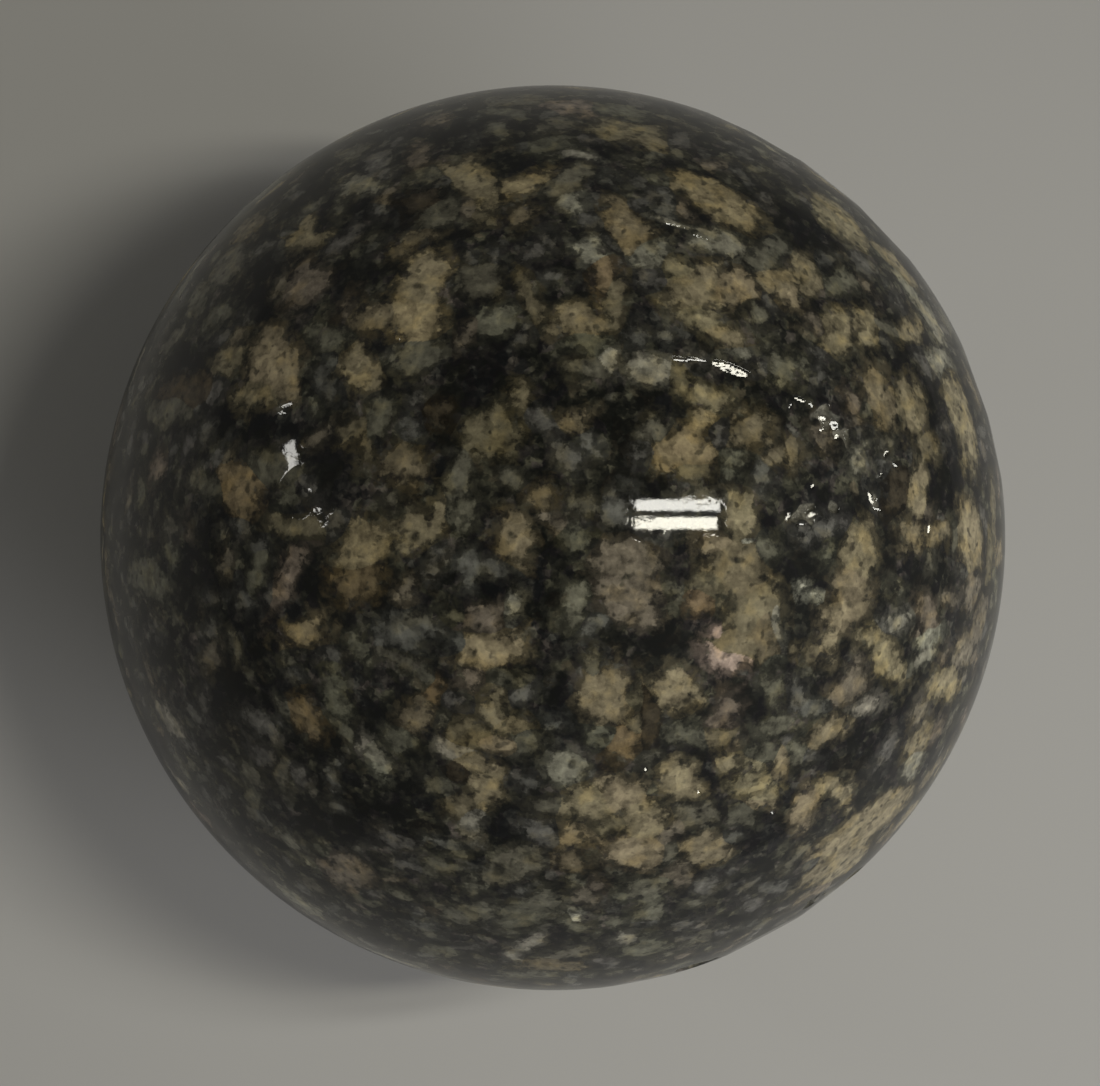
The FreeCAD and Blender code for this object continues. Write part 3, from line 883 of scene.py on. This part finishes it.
def matrix_color(nodes, place, rough_place):
    """Grains of quartz and mica: grains of three sizes, each with its own tone, under a mottling."""
    large = nodes.split(nodes.cells(rough_place, 0.45, softness=0.4))
    small = nodes.split(nodes.cells(nodes.shift(place, 0.9, 2.0, 1.4), 0.9, softness=0.35))
    flakes = nodes.split(nodes.cells(nodes.shift(place, 1.6, 1.5, 0.8), 1.7, softness=0.3))
    mottle = nodes.noise(place, 0.50, 3.0, 0.60)
    tone = nodes.math("MULTIPLY_ADD", large[0], 0.36, -0.86)
    tone = nodes.math("MULTIPLY_ADD", small[0], 0.46, tone)
    tone = nodes.math("MULTIPLY_ADD", flakes[0], 0.36, tone)
    tone = nodes.math("MULTIPLY_ADD", mottle, 1.35, tone)
    crowd = nodes.attribute("mica_crowd")
    tone = nodes.math("MULTIPLY_ADD", crowd, -0.22, tone)
    color = nodes.ramp(tone, MATRIX_TONES)
    hue = nodes.math("MULTIPLY_ADD", large[1], 0.6, nodes.math("MULTIPLY", small[1], 0.4))
    tint = nodes.ramp(nodes.between(hue, 0.2, 0.8, smooth=False), GRAIN_TINTS)
    return nodes.mix(1.0, color, tint, "MULTIPLY")


# Light scatters inside the feldspar, so it fades from a warm core through a dull rim into the
# matrix. The depths in mm, with the outline at 0, between which the core and the rim fade in.
CORE_FADE = (-0.05, 0.65)
RIM_FADE = (-1.5, 0.0)
# The feldspar is whiter in some places and more yellow in others.
FELDSPAR_TINTS = [(0.35, (1.00, 1.00, 1.02)), (0.50, (0.99, 1.00, 1.00)), (0.65, (1.05, 1.00, 0.86))]
# The colour of the rim, as a share of the crystal's own.
RIM_SHARE = (0.41, 0.415, 0.415, 1.0)


def clean_share(nodes, place, ragged):
    """How free of dark grains the crystals are: of the few placed ones, and of many small ones."""
    fine = nodes.noise(place, 0.95, 1.5, 0.5)
    clean = nodes.between(fine, 0.28, 0.40, 0.25, 1.0)
    finer = nodes.noise(place, 1.9, 1.0, 0.5)
    clean = nodes.math("MULTIPLY", clean, nodes.between(finer, 0.24, 0.36, 0.72, 1.0))
    grain = nodes.math("MULTIPLY_ADD", ragged, 1.2, -0.6)
    grain = nodes.math("ADD", grain, nodes.attribute("grain_depth"))
    return nodes.math("MULTIPLY", clean, nodes.between(grain, -0.2, 0.3, 1.0, 0.0))


def stone_color(nodes, place, rough_place):
    """How much of each spot is crystal, and the colour of the stone there. The mesh holds the
    crystals' outlines and colours, and noise makes the outlines ragged and the insides cloudy."""
    ragged = nodes.noise(place, 0.62, 4.0, 0.62)
    block = nodes.split(nodes.cells(rough_place, 0.9, softness=0.3))
    depth = nodes.math("MULTIPLY_ADD", ragged, 4.3, -2.5)
    depth = nodes.math("MULTIPLY_ADD", block[1], 0.7, depth)
    depth = nodes.math("ADD", depth, nodes.attribute("crystal_depth"))
    core = nodes.between(depth, *CORE_FADE)
    rim = nodes.between(depth, *RIM_FADE)

    core = nodes.math("MULTIPLY", core, clean_share(nodes, place, ragged))

    cloud = nodes.noise(place, 0.9, 5.0, 0.62)
    light = nodes.math("MULTIPLY_ADD", cloud, 1.9, -0.34)
    light = nodes.math("MULTIPLY_ADD", block[0], 0.50, light)
    light = nodes.math("MULTIPLY", light, nodes.between(depth, 0.0, 2.4, 0.80, 1.28))
    # The crystal colours hold a painted glint for the white kind and a painted sheen for the rose kind.
    feldspar = nodes.scaled(nodes.attribute("crystal_and_glint_color", "Color"), light)
    warmth = nodes.ramp(nodes.noise(place, 0.45, 3.0, 0.5), FELDSPAR_TINTS)
    feldspar = nodes.mix(1.0, feldspar, warmth, "MULTIPLY")
    dull = nodes.mix(1.0, feldspar, RIM_SHARE, "MULTIPLY")

    color = matrix_color(nodes, place, rough_place)
    patchy = nodes.between(nodes.noise(rough_place, 0.95, 3.0, 0.6), 0.38, 0.56, 0.25, 0.95)
    color = nodes.mix(nodes.math("MULTIPLY", rim, patchy), color, dull)
    color = nodes.mix(core, color, feldspar)
    return core, color


# ---------------- the floor and the light

# The radius of the round floor, in metres, and the number of its sides.
FLOOR_RADIUS = 0.4
FLOOR_SIDES = 180
FLOOR_COLOR = (0.64, 0.63, 0.62)
FLOOR_ROUGHNESS = 0.75
# The floor is mottled: it is as dark as this share of its colour in places.
FLOOR_DARKEST = 0.96
# The light of the room: what comes from straight above, and what comes from the walls. The heights
# of the ways, from 0 at the horizon to 1, between which one fades into the other.
ABOVE = (0.034, 0.034, 0.031)
AROUND = (0.123, 0.122, 0.112)
ABOVE_FADE = (0.3, 0.95)
# A broad soft glow over the near right, from a bright wall: its way as parts right, up and towards
# the camera, its light, and the cosines between which it fades in.
GLOW_WAY = (0.80, -0.55, 0.25)
GLOW = (0.26, 0.257, 0.246)
GLOW_FADE = (0.40, 1.0)
# A large soft lamp on the near right that fills the shade: its way, as above, its distance from the
# centre of the ball and its size in metres, and its brightness. It isn't reflected in the ball.
FILL_WAY = (0.72, -0.55, 0.42)
FILL_DISTANCE = 0.45
FILL_SIZE = 0.28
FILL_BRIGHTNESS = 2.1


def add_floor():
    mesh = bpy.data.meshes.new("floor")
    turns = [2.0 * math.pi * side / FLOOR_SIDES for side in range(FLOOR_SIDES)]
    corners = [(FLOOR_RADIUS * math.cos(turn), FLOOR_RADIUS * math.sin(turn), 0.0) for turn in turns]
    mesh.from_pydata(corners, [], [tuple(range(FLOOR_SIDES))])
    floor = add_object("floor", mesh)
    material = bpy.data.materials.new("pale_floor")
    nodes = Nodes(material)
    place = nodes.add("ShaderNodeTexCoord").outputs["Object"]
    mottle = nodes.noise(place, 9.0, 3.0, 0.5)
    darkest = [FLOOR_DARKEST * part for part in FLOOR_COLOR]
    color = nodes.mix(mottle, (*darkest, 1.0), (*FLOOR_COLOR, 1.0))
    inputs = {"Base Color": color, "Roughness": FLOOR_ROUGHNESS}
    shader = nodes.add("ShaderNodeBsdfPrincipled", inputs)
    nodes.add("ShaderNodeOutputMaterial", {"Surface": shader.outputs[0]})
    mesh.materials.append(material)


def new_lamp(name, width, height, brightness, color):
    """A rectangular lamp of this size in metres. The larger of two equally bright lamps gives more
    light."""
    data = bpy.data.lights.new(name, "AREA")
    data.shape = "RECTANGLE"
    data.size = width
    data.size_y = height
    data.energy = brightness * math.pi * width * height
    data.color = color
    return add_object(name, data)


def add_lamp(name, middle, length, thickness, turn, brightness, color):
    """A lamp that faces the ball and is reflected as its row in the table says."""
    cosine, sine = math.cos(math.radians(turn)), math.sin(math.radians(turn))
    right, up = middle
    place = mirrored(right, up)
    across = mirrored(right + cosine * length / 2, up + sine * length / 2)
    across -= mirrored(right - cosine * length / 2, up - sine * length / 2)
    along = mirrored(right - sine * thickness / 2, up + cosine * thickness / 2)
    along -= mirrored(right + sine * thickness / 2, up - cosine * thickness / 2)
    size = (np.linalg.norm(across) * MM, np.linalg.norm(along) * MM)
    lamp = new_lamp(name + "_lamp", *size, brightness, color)
    back = unit(np.cross(across, along))
    across = unit(across)
    facing = Matrix((across, np.cross(back, across), back)).transposed().to_4x4()
    lamp.matrix_world = Matrix.Translation(Vector(place * MM + CENTRE)) @ facing


def add_fill():
    lamp = new_lamp("fill_lamp", FILL_SIZE, FILL_SIZE, FILL_BRIGHTNESS, (1.0, 1.0, 1.0))
    lamp.visible_glossy = False
    way = Vector(in_view(*FILL_WAY))
    facing = way.to_track_quat("Z", "Y").to_matrix().to_4x4()
    lamp.matrix_world = Matrix.Translation(way * FILL_DISTANCE + Vector(CENTRE)) @ facing


def add_light():
    world = bpy.data.worlds.new("studio")
    bpy.context.scene.world = world
    nodes = Nodes(world)
    way = nodes.add("ShaderNodeTexCoord").outputs["Generated"]
    height = nodes.add("ShaderNodeSeparateXYZ", {"Vector": way}).outputs["Z"]
    color = nodes.mix(nodes.between(height, *ABOVE_FADE), (*AROUND, 1.0), (*ABOVE, 1.0))
    inputs = {0: way, 1: tuple(in_view(*GLOW_WAY))}
    toward_glow = nodes.add("ShaderNodeVectorMath", inputs, operation="DOT_PRODUCT")
    glow = nodes.between(toward_glow.outputs["Value"], *GLOW_FADE)
    color = nodes.mix(glow, color, (*GLOW, 1.0))
    background = nodes.add("ShaderNodeBackground", {"Color": color})
    nodes.add("ShaderNodeOutputWorld", {"Surface": background.outputs[0]})
    for name, reflection in LAMPS.items():
        add_lamp(name, *reflection)
    add_fill()


# ---------------- everything together

def main():
    bpy.context.scene.view_settings.view_transform = "Standard"
    add_camera()
    ball, ways = make_ball()
    paint(ball.data, ways)
    ball.data.materials.append(granite_material())
    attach(ball, "root")
    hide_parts(NODE)
    add_floor()
    add_light()


main()
